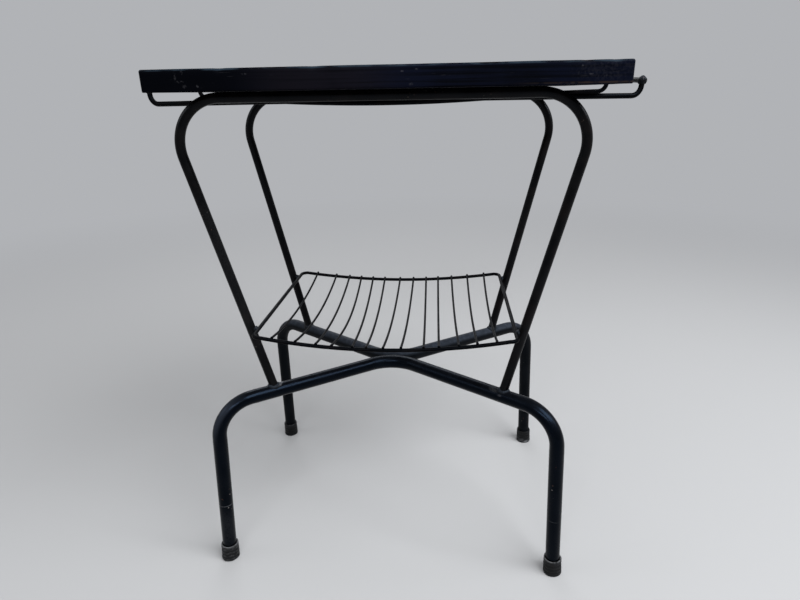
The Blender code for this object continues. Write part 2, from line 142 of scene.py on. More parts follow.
def carryRound(path, radius, count, sideways, closed=False, flatten=0.0, waver=0.0):
    # round section along a path: point = path + r * (cos(a) * side + sin(a) * over)
    # r shrinks towards a bend's centre and grows across it, by flatten times the bend's tightness,
    # and wavers slowly along the length as drawn tube does
    if closed:
        tangent = unit(np.roll(path, -1, axis=0) - np.roll(path, 1, axis=0))
        bend = np.roll(tangent, -1, axis=0) - np.roll(tangent, 1, axis=0)
    else:
        tangent = unit(np.gradient(path, axis=0))
        bend = np.gradient(tangent, axis=0)
    side = unit(sideways - dot(sideways, tangent)[:, None] * tangent)
    angle = fullTurn(count)
    spokes = spokesRound(angle, side[:, None], np.cross(tangent, side)[:, None])
    tightness = np.linalg.norm(bend, axis=1)
    window = np.ones(drawn["smooth"]) / drawn["smooth"]
    tightness = np.convolve(tightness / (tightness.max() + smallest), window, "same")
    inwards = dot(spokes, unit(bend)[:, None])
    squeeze = 1 - flatten * tightness[:, None] * (2 * inwards ** 2 - 1)
    run = lengthAlong(path)[:, None]
    longWave = np.sin(drawn["longWave"] * run + 2 * angle)
    shortWave = np.sin(drawn["shortWave"] * run - angle + drawn["shortPhase"])
    squeeze = squeeze + waver * (longWave + drawn["shortShare"] * shortWave)
    thick = np.broadcast_to(radius, len(path))[:, None] * squeeze
    return path[:, None] + thick[..., None] * spokes


def lumpyBead(centre, axes, halfSize, seed, lumps, ripple=0.0, ripples=0, rows=26, columns=32):
    # ellipsoid: centre + size * (cos(lat) cos(lon), cos(lat) sin(lon), sin(lat)) along the three axes,
    # swollen by slow waves and by the rings of a weld pool that follow each other along the third axis
    lat = np.linspace(-poleShare, poleShare, rows)[:, None] * np.pi
    lon = fullTurn(columns)[None]
    ball = np.stack([np.cos(lat) * np.cos(lon), np.cos(lat) * np.sin(lon), np.sin(lat) + 0 * lon], -1)
    swell = np.sin(3 * lon + seed) * np.cos(2 * lat + 2 * seed)
    swell = swell + 0.7 * np.sin(5 * lon - 1.7 * seed + 3 * lat)
    rings = np.abs(np.sin(ripples * np.pi * (np.sin(lat) + 1) / 2 + seed)) - 0.5
    grown = ball * (1 + lumps * swell + ripple * rings)[..., None]
    return centre + (grown * halfSize) @ axes


def addPiece(name, grid, material, body, slot, node, wrapRows=False, wear=None):
    # quads between neighbouring rows and columns; columns close round, rows close or end in flat caps
    rows, columns = grid.shape[:2]
    index = np.arange(rows * columns).reshape(rows, columns)
    ring = np.hstack([index, index[:, :1]])
    centres = grid.mean(1)
    if wrapRows:
        ring = np.vstack([ring, ring[:1]])
        centres = np.vstack([centres, centres[:1]])
    girth = np.linalg.norm(grid - np.roll(grid, 1, axis=1), axis=-1).sum(1).mean()
    wrap = np.stack(np.meshgrid(np.linspace(0, girth, columns + 1), lengthAlong(centres)), -1)
    near, far = slice(0, -1), slice(1, None)
    windows = [(near, near), (near, far), (far, far), (far, near)]
    quads = np.stack([ring[window] for window in windows], -1).reshape(-1, 4)
    quadWrap = np.stack([wrap[window] for window in windows], 2).reshape(-1, 4, 2)
    caps = [] if wrapRows else [index[0, ::-1], index[-1]]
    points = grid.reshape(-1, 3)
    a, b, c, d = (points - points.mean(0))[quads].transpose(1, 0, 2)
    if (dot(np.cross(a, b), c) + dot(np.cross(a, c), d)).sum() < 0:  # inside out
        quads, quadWrap = quads[:, ::-1], quadWrap[:, ::-1]
        caps = [cap[::-1] for cap in caps]
    mesh = bpy.data.meshes.new(name)
    mesh.from_pydata(points.tolist(), [], quads.tolist() + [cap.tolist() for cap in caps])
    wrapMap = mesh.uv_layers.new(name="wrap")
    allWrap = np.concatenate([quadWrap.reshape(-1, 2), np.zeros((sum(map(len, caps)), 2))])
    wrapMap.data.foreach_set("uv", allWrap.ravel())
    if wear is not None:
        layer = mesh.attributes.new("wear", "FLOAT", "POINT")
        layer.data.foreach_set("value", np.broadcast_to(wear, (rows, columns)).ravel())
    mesh.shade_smooth()
    mesh.materials.append(material)
    piece = bpy.data.objects.new(name, mesh)
    scene.collection.objects.link(piece)
    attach(piece, body)
    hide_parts(node)


# finishes
markCore = 0.25  # part of a mark's half size that has its full strength


class Finish:
    # the nodes of one material; in its look a part's grain is the scale, detail and stretch of a noise,
    # and its span is where it fades in, with the least and the most of it where they aren't 0 and 1
    def __init__(self, name, look):
        self.look, self.material = look, bpy.data.materials.new(name)
        self.material.use_nodes = True
        self.tree = self.material.node_tree
        coords = self.add("ShaderNodeTexCoord").outputs
        self.place, self.wrap = coords["Object"], coords["UV"]
        self.spread = self.split(self.place)
        self.facing = self.split(self.add("ShaderNodeNewGeometry").outputs["Normal"])
        self.worn = self.add("ShaderNodeAttribute", attribute_name="wear").outputs["Fac"]

    def fill(self, node, inputs):
        # an input is a socket, a value, or the name of a value or colour in the look
        for key, value in inputs.items():
            if isinstance(value, str):
                value = self.look[value]
                value = (*value, 1.0) if isinstance(value, tuple) else value
            if isinstance(value, bpy.types.NodeSocket):
                self.tree.links.new(value, node.inputs[key])
            else:
                node.inputs[key].default_value = value
        return node

    def add(self, kind, inputs=None, **settings):
        made = self.tree.nodes.new(kind)
        for key, value in settings.items():
            setattr(made, key, value)
        return self.fill(made, inputs or {})

    def split(self, vector):
        return self.add("ShaderNodeSeparateXYZ", {0: vector}).outputs

    def length(self, vector):
        return self.add("ShaderNodeVectorMath", {0: vector}, operation="LENGTH").outputs["Value"]

    def noise(self, part, where=None):
        scale, detail, *stretch = self.look[part + "Grain"]
        where = self.place if where is None else where
        if stretch:
            where = self.add("ShaderNodeMapping", {"Vector": where, "Scale": stretch[0]}).outputs["Vector"]
        inputs = {"Vector": where, "Scale": scale, "Detail": detail}
        return self.add("ShaderNodeTexNoise", inputs).outputs["Fac"]

    def ramp(self, value, low, high, bottom=0.0, top=1.0):
        # eased step from bottom to top while value goes from low to high
        return self.add("ShaderNodeMapRange", {
            "Value": value, "From Min": low, "From Max": high, "To Min": bottom, "To Max": top},
            interpolation_type="SMOOTHSTEP").outputs["Result"]

    def fade(self, value, part, *limits):
        return self.ramp(value, *self.look[part + "Span"], *limits)

    def grain(self, part):
        return self.fade(self.noise(part), part)

    def maths(self, operation, result, *others):
        for value in others:
            result = self.add("ShaderNodeMath", {0: result, 1: value}, operation=operation).outputs[0]
        return result

    def plus(self, *values):
        return self.maths("ADD", *values)

    def times(self, *values):
        return self.maths("MULTIPLY", *values)

    def blend(self, share, first, second):
        return self.add("ShaderNodeMix", {0: share, 6: first, 7: second}, data_type="RGBA").outputs[2]

    def layer(self, colour, *layers):
        # each layer covers what is below it by its share
        for share, tint in layers:
            colour = self.blend(share, colour, tint)
        return colour

    def spots(self, marks):
        # soft ellipses in x and z, the strongest where they overlap
        shares = []
        for x, z, halfWidth, halfHeight, strength in marks:
            moved = self.add("ShaderNodeMapping", {
                "Vector": self.place, "Location": (-x / halfWidth, 0, -z / halfHeight),
                "Scale": (1 / halfWidth, 0, 1 / halfHeight)}).outputs["Vector"]
            shares.append(self.ramp(self.length(moved), markCore, 1.0, strength, 0))
        return self.maths("MAXIMUM", *shares)

    def finish(self, colour, roughness, height):
        bump = self.add("ShaderNodeBump", {
            "Height": height, "Distance": "bumpDepth", "Strength": "bumpStrength"}).outputs["Normal"]
        self.fill(self.tree.nodes["Principled BSDF"], {
            "Base Color": colour, "Roughness": roughness, "Normal": bump,
            "Specular IOR Level": "specular", "Specular Tint": "sheen"})
        return self.material


# what all enamels share
enamelBase = dict(
    cloudGrain=(38, 5), cloudSpan=(0.35, 0.68), roughSpan=(0.3, 0.75), roughRise=0.16, dullShare=0.35,
    lineGrain=(1, 3, (1700, 42, 1)), lineSpan=(0.67, 0.77, 0, 0.25), lineTint=(0.030, 0.032, 0.036),
    hazeGrain=(46, 4), hazeSpan=(0.45, 0.70), hazeTint=(0.0120, 0.0076, 0.0062),
    speckGrain=(210, 4), speckSpan=(0.38, 0.72, 0.6, 1.0), settleSpan=(0.1, 0.95),
    # painted sheen: the bluish dust colour on upward faces also stands in for a blue sheen along the tops
    # of the tubes
    dustAndSheenTint=(0.104, 0.122, 0.160), chipScale=190, raggedGrain=(900, 3), raggedShare=0.22,
    chipSpan=(0.27, 0.21), chipDepth=0.6, patchGrain=(21, 3), patchRise=0.1, wearShare=0.3,
    rustGrain=(120, 2), rustSpan=(0.42, 0.60), rustTint=(0.060, 0.026, 0.013),
    bareTint=(0.150, 0.140, 0.130), frontSpan=(0, -0.05), bendSpan=(-0.2, 0.7),
    markGrain=(640, 4), markSpan=(0.34, 0.60, 0.25, 1.0), markTint=(0.130, 0.132, 0.138),
    peelGrain=(620, 2), peelShare=0.5, bumpDepth=0.00025, bumpStrength=0.5, sheen=(0.64, 0.82, 1.0))
# what each enamel has of its own
enamelLooks = {
    "frameEnamel": dict(
        dark=(0.0001, 0.0001, 0.0002), light=(0.0005, 0.0006, 0.0010), sheen=(0.40, 0.62, 1.0),
        gloss=0.16, dust=0.030, haze=0.02, chips=0.75, chipFrom=0.60, specular=0.096),
    "rodEnamel": dict(
        dark=(0.0004, 0.0003, 0.0003), light=(0.0022, 0.0019, 0.0019), sheen=(0.80, 0.87, 1.0),
        gloss=0.24, dust=0.030, haze=0.20, chips=0.30, chipFrom=0.54, specular=0.092),
    "dustyEnamel": dict(
        dark=(0.0006, 0.0006, 0.0009), light=(0.0020, 0.0022, 0.0030),
        gloss=0.36, dust=0.26, haze=0.05, chips=0.75, chipFrom=0.58, specular=0.080),
    "wireEnamel": dict(
        dark=(0.0003, 0.0003, 0.0005), light=(0.0014, 0.0014, 0.0018), peelGrain=(900, 2),
        gloss=0.34, dust=0.010, haze=0.20, chips=0.9, chipFrom=0.54, bumpDepth=0.0002, specular=0.030),
    "weldEnamel": dict(
        dark=(0.0006, 0.0006, 0.0008), light=(0.0034, 0.0034, 0.0037), peelGrain=(1500, 2),
        gloss=0.36, dust=0.16, haze=0.20, chips=0.6, chipFrom=0.54, bumpDepth=0.0005, specular=0.10)}
# marks on the front of the frame: x, z, half width, half height, strength
frameMarks = [
    (-0.1930, 0.0780, 0.014, 0.0007, 0.50),  # thin line on the left leg
    (-0.1950, 0.0480, 0.012, 0.034, 0.05),  # dull stretch below it
    (0.1800, 0.0745, 0.014, 0.0006, 0.18),  # thin line on the right leg
    (-0.1290, 0.2128, 0.0022, 0.0016, 0.70),  # pale specks beside the rod welds
    (0.1135, 0.2116, 0.0060, 0.0024, 0.16),
    (0.1195, 0.2086, 0.0030, 0.0016, 0.20),
    (-0.1700, 0.3400, 0.044, 0.150, 0.030)]  # dull paint on the left rod
# painted highlight: a pale bluish patch on the upper, left-facing side of the left bend
bendHighlightMarks = [(-0.1880, 0.1900, 0.034, 0.036, 0.11)]


def makeEnamel(name, look):
    # old brushed-on black: cloudy base, fine lines along the tube, a warm haze, dust above that also
    # paints a bluish sheen on the tops, chips with rust in them, marks on the front, and a painted
    # highlight on the left bend
    paint = Finish(name, look)
    cloud = paint.noise("cloud")
    lines = paint.fade(paint.noise("line", paint.wrap), "line")
    haze = paint.fade(paint.noise("haze"), "haze", 0, look["haze"])
    # dust on upward faces, whose bluish colour also paints a sheen there
    dust = paint.times(paint.fade(paint.facing["Z"], "settle"), paint.grain("speck"), "dust")
    dots = paint.add("ShaderNodeTexVoronoi", {
        "Vector": paint.place, "Scale": "chipScale", "Randomness": 1.0}).outputs["Distance"]
    ragged = paint.plus(dots, paint.times(paint.noise("ragged"), "raggedShare"))
    patches = paint.plus(paint.noise("patch"), paint.times(paint.worn, "wearShare"))
    patches = paint.ramp(patches, look["chipFrom"], look["chipFrom"] + look["patchRise"])
    chip = paint.times(paint.fade(ragged, "chip", 0, look["chips"]), patches)
    inside = paint.blend(paint.grain("rust"), "rustTint", "bareTint")
    inFront = paint.fade(paint.spread["Y"], "front")
    marks = paint.times(paint.spots(frameMarks), inFront, paint.grain("mark"))
    # painted highlight on the left bend: the patch shows only on faces turned up and to the left
    upAndLeft = paint.maths("SUBTRACT", paint.facing["Z"], paint.facing["X"])
    paintedBendHighlight = paint.times(paint.spots(bendHighlightMarks), paint.fade(upAndLeft, "bend"), inFront)
    colour = paint.layer(paint.blend(paint.fade(cloud, "cloud"), "dark", "light"),
                         (lines, "lineTint"), (haze, "hazeTint"), (dust, "dustAndSheenTint"), (chip, inside),
                         (marks, "markTint"), (paintedBendHighlight, "dustAndSheenTint"))
    rough = paint.fade(cloud, "rough", look["gloss"], look["gloss"] + look["roughRise"])
    rough = paint.plus(rough, paint.times(paint.plus(dust, chip), "dullShare"))
    peel = paint.times(paint.noise("peel"), "peelShare")
    height = paint.maths("SUBTRACT", peel, paint.times(chip, "chipDepth"))
    return paint.finish(colour, rough, paint.plus(height, lines))


enamels = {name: makeEnamel(name, {**enamelBase, **look}) for name, look in enamelLooks.items()}

rubberLook = dict(
    dark=(0.0012, 0.0013, 0.0016), grey=(0.0075, 0.0079, 0.0092), dust=(0.125, 0.125, 0.128),
    # painted shade: the groove colour is the near black of the shaded rings
    groove=(0.0008, 0.0008, 0.0009), bloomGrain=(95, 5), bloomSpan=(0.36, 0.66),
    grooveSpan=(-0.05, -0.60, 0, 0.85), gritGrain=(420, 4), gritSpan=(0.52, 0.78), wearShare=0.30,
    settleSpan=(0.2, 0.9, 0.25, 0.75), wornSpan=(0.9, 1.8, 0, 0.8),
    crackGrain=(1, 3, (1100, 1100, 130)), crackSpan=(0.36, 0.42, 1, 0), crackShare=0.7, crackDepth=0.8,
    skinGrain=(800, 4), roughSpan=(0.3, 0.7, 0.40, 0.64), specular=0.18, sheen=(1, 1, 1),
    bumpDepth=0.0005, bumpStrength=0.6)


def makeRubber(name, look):
    # perished rubber: grey bloom, painted shade darkening the rings, grey dust in worn places and above
    # (on the lip also a painted highlight), fine upright cracks
    rubber = Finish(name, look)
    bloom = rubber.noise("bloom")
    grit = rubber.plus(rubber.noise("grit"), rubber.times(rubber.worn, "wearShare"))
    settle = rubber.fade(rubber.facing["Z"], "settle")
    settle = rubber.maths("MAXIMUM", settle, rubber.fade(rubber.worn, "worn"))
    cracks = rubber.grain("crack")
    colour = rubber.layer(rubber.blend(rubber.fade(bloom, "bloom"), "dark", "grey"),
                          # painted shade in the rings: the rubber turns near black where the wear runs
                          # below zero, there and all over some feet
                          (rubber.fade(rubber.worn, "groove"), "groove"),
                          (rubber.times(rubber.fade(grit, "grit"), settle), "dust"),
                          (rubber.times(cracks, "crackShare"), "groove"))
    height = rubber.maths("SUBTRACT", rubber.noise("skin"), rubber.times(cracks, "crackDepth"))
    return rubber.finish(colour, rubber.fade(bloom, "rough"), height)


footRubber = makeRubber("footRubber", rubberLook)

boardLook = dict(
    # painted light among these colours: the left and warm tones are painted reflection, the edge colour is
    # also a painted highlight, and the bare wood colour is also painted bounce light
    dark=(0.0003, 0.0003, 0.0009), light=(0.0021, 0.0028, 0.0074), leftPaintedShade=(0.0004, 0.0005, 0.0011),
    warm=(0.0050, 0.0040, 0.0052), scuff=(0.060, 0.058, 0.064), bareWoodAndBounce=(0.0160, 0.0112, 0.0095),
    edge=(0.016, 0.025, 0.035), dust=(0.12, 0.12, 0.125),
    streakGrain=(1, 4, (9, 330, 520)), streakShare=0.55, cloudGrain=(14, 4), cloudShare=0.45,
    shadeSpan=(0.36, 0.60), leftSpan=(-0.15, 0.0), forwardSpan=(-0.3, -0.8), settleSpan=(0.5, 1.0),
    wipedGrain=(1, 5, (11, 34, 34)), wipedSpan=(0.40, 0.72, 0.004, 0.034),
    speckGrain=(900, 3), speckSpan=(0.60, 0.75, 0, 0.05), warmSpan=(0.30, 0.58, 0.35, 1.0),
    scuffGrain=(520, 5), scuffSpan=(0.40, 0.66), hairGrain=(1, 2, (60, 900, 1400)),
    hairSpan=(0.69, 0.76, 0, 0.16), rubGrain=(1, 4, (55, 55, 300)), rubSpan=(0.42, 0.62),
    bareBelowSpan=(0.5314, 0.5307), bareAboveSpan=(0.5293, 0.5299), bareRightSpan=(0.10, 0.19),
    bareGrain=(1, 4, (190, 190, 300)), bareSpan=(0.26, 0.56),
    roughSpan=(0.35, 0.68, 0.46, 0.28), wornShare=0.25, undersideSpan=(-0.05, -0.5, 0, 0.6),
    streakDepth=0.7, fineGrain=(480, 3), fineDepth=0.3,
    specular=0.035, sheen=(0.68, 0.78, 1.0), bumpDepth=0.00035, bumpStrength=0.45)
# a painted warm reflection on the front and scuffs on the front edge: x, z, half width, half height,
# strength
warmReflectionMarks = [(-0.0500, 0.5380, 0.085, 0.060, 0.70)]
scuffMarks = [
    (-0.1764, 0.5418, 0.0016, 0.0045, 0.34), (-0.1700, 0.5445, 0.0014, 0.0024, 0.24),
    (-0.1731, 0.5371, 0.0050, 0.0012, 0.45), (-0.1689, 0.5332, 0.0028, 0.0022, 0.30),
    (-0.1573, 0.5331, 0.0015, 0.0018, 0.45), (-0.1151, 0.5424, 0.0045, 0.0009, 0.36),
    (0.0205, 0.5420, 0.0018, 0.0010, 0.42), (0.0330, 0.5433, 0.0021, 0.0010, 0.42),
    (0.0280, 0.5317, 0.0022, 0.0016, 0.50), (0.1683, 0.5435, 0.0014, 0.0012, 0.34),
    (0.1753, 0.5368, 0.0036, 0.0009, 0.30), (0.1850, 0.5352, 0.0090, 0.0011, 0.15),
    (0.1655, 0.5362, 0.0012, 0.0050, 0.10), (0.1710, 0.5390, 0.0014, 0.0060, 0.08),
    (0.1900, 0.5405, 0.0380, 0.0140, 0.065)]


def makeBoardPaint(name, look):
    # black brush paint: streaks along the board, painted reflection that leaves it darker at the left,
    # bluer to the right and warmer in a cloud, wiped dust above, scuffs and hair lines, rubbed top edges
    # with a painted highlight, a brown lower edge at the right that is worn bare and painted with warm
    # bounce light, and a dull underside
    paint = Finish(name, look)
    streak = paint.noise("streak")
    shade = paint.plus(paint.times(streak, "streakShare"), paint.times(paint.noise("cloud"), "cloudShare"))
    wiped = paint.plus(paint.grain("wiped"), paint.grain("speck"))
    wiped = paint.times(paint.fade(paint.facing["Z"], "settle"), wiped)
    forward = paint.fade(paint.facing["Y"], "forward")
    # painted reflection: a warmer cloud on the front, left of the middle
    paintedWarmReflection = paint.times(paint.spots(warmReflectionMarks), paint.fade(shade, "warm"), forward)
    marks = paint.times(paint.spots(scuffMarks), forward, paint.grain("scuff"))
    # rubbed top edge, coloured also as a painted bluish highlight along it
    rubbedEdgeAndHighlight = paint.times(paint.worn, paint.grain("rub"))
    # brown line along the lower front edge at the right: worn to bare wood and painted with warm bounce
    # light from below
    band = [paint.fade(paint.spread["Z"], limit) for limit in ("bareBelow", "bareAbove")]
    bare = paint.times(*band, forward, paint.fade(paint.spread["X"], "bareRight"), paint.grain("bare"))
    # painted reflection: the paint's paler tone is darker at the left end and bluer towards the right
    paintedReflectionTone = paint.blend(paint.fade(paint.spread["X"], "left"), "leftPaintedShade", "light")
    colour = paint.layer(paint.blend(paint.fade(shade, "shade"), "dark", paintedReflectionTone),
                         (wiped, "dust"), (paintedWarmReflection, "warm"), (marks, "scuff"),
                         (paint.grain("hair"), "scuff"), (rubbedEdgeAndHighlight, "edge"), (bare, "bareWoodAndBounce"))
    rough = paint.plus(paint.fade(shade, "rough"), paint.times(paint.plus(marks, rubbedEdgeAndHighlight), "wornShare"),
                       paint.fade(paint.facing["Z"], "underside"))
    height = paint.plus(paint.times(streak, "streakDepth"), paint.times(paint.noise("fine"), "fineDepth"))
    return paint.finish(colour, rough, height)


boardPaint = makeBoardPaint("boardPaint", boardLook)
print("finishes ready")


def addWire(name, grid, node, **more):
    addPiece(name, grid, enamels["wireEnamel"], "frame", "wire_enamel", node, **more)


def addWeld(name, grid, node, **more):
    addPiece(name, grid, enamels["weldEnamel"], "frame", "weld_enamel", node, **more)


# board: a rounded edge profile carried round a rectangle with rounded corners
board = dict(
    topRadius=0.0020, lowRadius=0.0010, cornerRadius=0.0022, leastRadius=0.0004, inset=0.012,
    flatRows=(1.5, 1.0), besideEdge=1.5, edgeRows=7, sideRows=9, cornerColumns=8, longColumns=150,
    shortColumns=100, waver=0.00012, waves=(23, 61), knocks=26, knockSeed=7, knockDepth=0.0007,
    knockLeast=0.3, knockWidth=0.0035, knockReach=0.0030, knockLevel=0.6, rubInset=0.3, rubWidth=0.45,
    rubWear=0.85, knockWear=900)


def boardOutline(halfLength, halfDepth, inset):
    # corner c at angle a: centre + radius * (cos(a), sin(a)), joined by straight sides;
    # inset shrinks it evenly
    radius = np.maximum(board["cornerRadius"] - inset, board["leastRadius"])
    shrink = inset + radius
    signs = np.array([(1, 1), (-1, 1), (-1, -1), (1, -1)])
    turn = np.linspace(0, np.pi / 2, board["cornerColumns"])
    angle = turn + np.arange(4)[:, None] * np.pi / 2
    centre = signs * np.array([halfLength - shrink, halfDepth - shrink])
    arcs = centre[:, None] + radius * np.stack([np.cos(angle), np.sin(angle)], -1)
    loop = []
    for corner, count in enumerate((board["longColumns"], board["shortColumns"]) * 2):
        share = np.linspace(0, 1, count + 2)[1:-1, None]
        following = arcs[(corner + 1) % 4][0]
        loop += [arcs[corner], arcs[corner][-1] * (1 - share) + following * share]
    return np.concatenate(loop)


def boardGrid():
    # rows climb the edge profile: inset and height follow a quarter circle, a straight side and
    # a quarter circle; knocks press the edges in by bell curves along them
    low, high = (np.array(corner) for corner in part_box("top_board"))
    middle, half = (low + high) / 2, (high - low) / 2
    thick, topRadius, lowRadius = 2 * half[2], board["topRadius"], board["lowRadius"]
    quarter = np.linspace(0, np.pi / 2, board["edgeRows"])
    lift = np.linspace(lowRadius, thick - topRadius, board["sideRows"])[1:-1]
    flat = np.array(board["flatRows"]) * board["inset"]
    inset = np.concatenate([flat, [board["besideEdge"] * lowRadius], lowRadius * (1 - np.sin(quarter)),
                            0 * lift, topRadius * (1 - np.cos(quarter)),
                            [board["besideEdge"] * topRadius], flat[::-1]])
    height = np.concatenate([[0, 0, 0], lowRadius * (1 - np.cos(quarter)), lift,
                             thick - topRadius * (1 - np.sin(quarter)), [thick] * 3])
    outline = np.stack([boardOutline(half[0], half[1], value) for value in inset])
    outer = boardOutline(half[0], half[1], 0.0)
    run = lengthAlong(outer)
    draw = np.random.default_rng(board["knockSeed"])
    spot = draw.uniform(0, run[-1], board["knocks"])
    depth = draw.uniform(board["knockLeast"], 1.0, board["knocks"]) * board["knockDepth"]
    upper = draw.integers(0, 2, board["knocks"])
    apart = np.abs(run[:, None] - spot)
    dent = bell(np.minimum(apart, run[-1] - apart), board["knockWidth"]) * depth
    nearTop = bell(thick - height, board["knockReach"])[:, None]
    nearLow = bell(height, board["knockReach"])[:, None]
    onEdge = (inset < board["inset"] / 2)[:, None]
    pressed = nearTop * (dent * upper).sum(1) + nearLow * (dent * (1 - upper)).sum(1)
    longWave, shortWave = board["waves"]
    wavy = 1 + np.sin(longWave * run) * np.sin(shortWave * run + 1)
    pressed = pressed * onEdge + board["waver"] * onEdge * wavy
    heading = unit(np.roll(outer, -1, axis=0) - np.roll(outer, 1, axis=0))
    outwards = np.stack([heading[:, 1], -heading[:, 0]], -1)
    plan = outline - pressed[..., None] * outwards
    level = height[:, None] - np.sign(height - half[2])[:, None] * pressed * board["knockLevel"]
    grid = np.concatenate([plan + middle[:2], (level + low[2])[..., None]], -1)
    # the rubbed band along the top edge, which the paint also shows as a painted bluish highlight line
    rubbedEdgeAndHighlight = bell(inset - board["rubInset"] * topRadius, board["rubWidth"] * topRadius)
    rubbedEdgeAndHighlight = rubbedEdgeAndHighlight * (height > thick - topRadius) * (height < thick)
    wear = rubbedEdgeAndHighlight[:, None] * (board["rubWear"] + board["knockWear"] * pressed)
    return grid, np.clip(wear, 0, 1)


grid, wear = boardGrid()
addPiece("topBoard", grid, boardPaint, "top", "board_paint", "top_board", wear=wear)
print("board laid")

# base: two tubes, each a V in plan with legs turned down at its ends; the front left leg is chipped
baseTube = dict(
    diameter=0.016, length=0.368, depth=0.2512, runHeight=0.205, bendRadius=0.040, pointRadius=0.047,
    splay=0.0080, rearLeftSplay=0.0018, splayDepth=0.0058, step=0.0025, sides=44, flatten=0.028,
    waver=0.0022, chipHeight=0.095, chipReach=0.022, chipShare=0.60)
tubeRadius = baseTube["diameter"] / 2
rubberFoot = dict(
    height=0.0205, floor=0.005, wall=0.0018, flare=0.0005, edge=0.0012, columns=72, wallRows=34,
    lipRows=10, lipOutside=3, heelRows=6, ringDepth=0.00055, ringHeights=(0.0052, 0.0098, 0.0142),
    ringWidth=0.0009, lump=0.00018, nickDepth=0.0006, nickAngle=0.06, nickReach=0.006, lipReach=0.0016,
    seed=1.0, seedStep=1.7)
# dust on each ferrule, darker rubber below zero: all over, on its lip (also a painted highlight), at its
# heel, and how far that climbs
footDust = {"frontLeft": (0.35, 0.8, -0.7, 0.005), "frontRight": (-0.25, 1.1, -0.3, 0.005),
            "rearLeft": (-0.25, 0.5, -0.1, 0.004), "rearRight": (-0.40, 0.1, 3.2, 0.008)}


def baseCorner(side):
    # where the run and a front leg would cross
    return np.array([side * baseTube["length"] / 2, -baseTube["depth"] / 2, baseTube["runHeight"]])


def baseFoot(side, end):
    # floor point under a leg, moved outwards by its splay; a rear leg is mirrored later
    splay = baseTube["rearLeftSplay" if (side, end) == (-1, 1) else "splay"]
    return baseCorner(side) * (1, 1, 0) + np.array([side * splay, -baseTube["splayDepth"], 0])


def basePoint():
    # where the two straight runs would cross, found from the tangent to the rounded point
    pointY = tubeRadius + fitGap / 2
    across = baseTube["depth"] / 2 - pointY - baseTube["pointRadius"]
    halfLength = baseTube["length"] / 2
    reach = np.hypot(halfLength, across)
    slope = np.arctan2(across, halfLength) + np.arcsin(baseTube["pointRadius"] / reach)
    return np.array([0, halfLength * np.tan(slope) - baseTube["depth"] / 2, baseTube["runHeight"]])


def legAxis(side, end):
    return unit(baseCorner(side) - baseFoot(side, end))


footRest = rubberFoot["floor"] + fitGap
for endName, end in ends.items():
    tubeEnds = [baseFoot(side, end) + legAxis(side, end) * footRest for side in (-1, 1)]
    tubeAxis = bentPath([tubeEnds[0], baseCorner(-1), basePoint(), baseCorner(1), tubeEnds[1]],
                        [baseTube[radius] for radius in ("bendRadius", "pointRadius", "bendRadius")],
                        baseTube["step"])
    path = mirrored(tubeAxis, end) + legShift
    grid = carryRound(path, tubeRadius, baseTube["sides"], alongY,
                      flatten=baseTube["flatten"], waver=baseTube["waver"])
    knocked = bell(path[:, 2] - baseTube["chipHeight"], baseTube["chipReach"])
    wear = baseTube["chipShare"] * knocked * (path[:, 0] < 0) * (end < 0)
    enamel = enamels["dustyEnamel" if end > 0 else "frameEnamel"]
    addPiece(endName + "BaseTube", grid, enamel, "frame", "frame_enamel", endName + "_base_tube",
             wear=wear[:, None])
print("base tubes bent")


# feet: a ferrule profile turned about each leg, flat on the floor
def ringsAt(height):
    # sum of a bell curve at each ring
    return sum(bell(height - ring, rubberFoot["ringWidth"]) for ring in rubberFoot["ringHeights"])


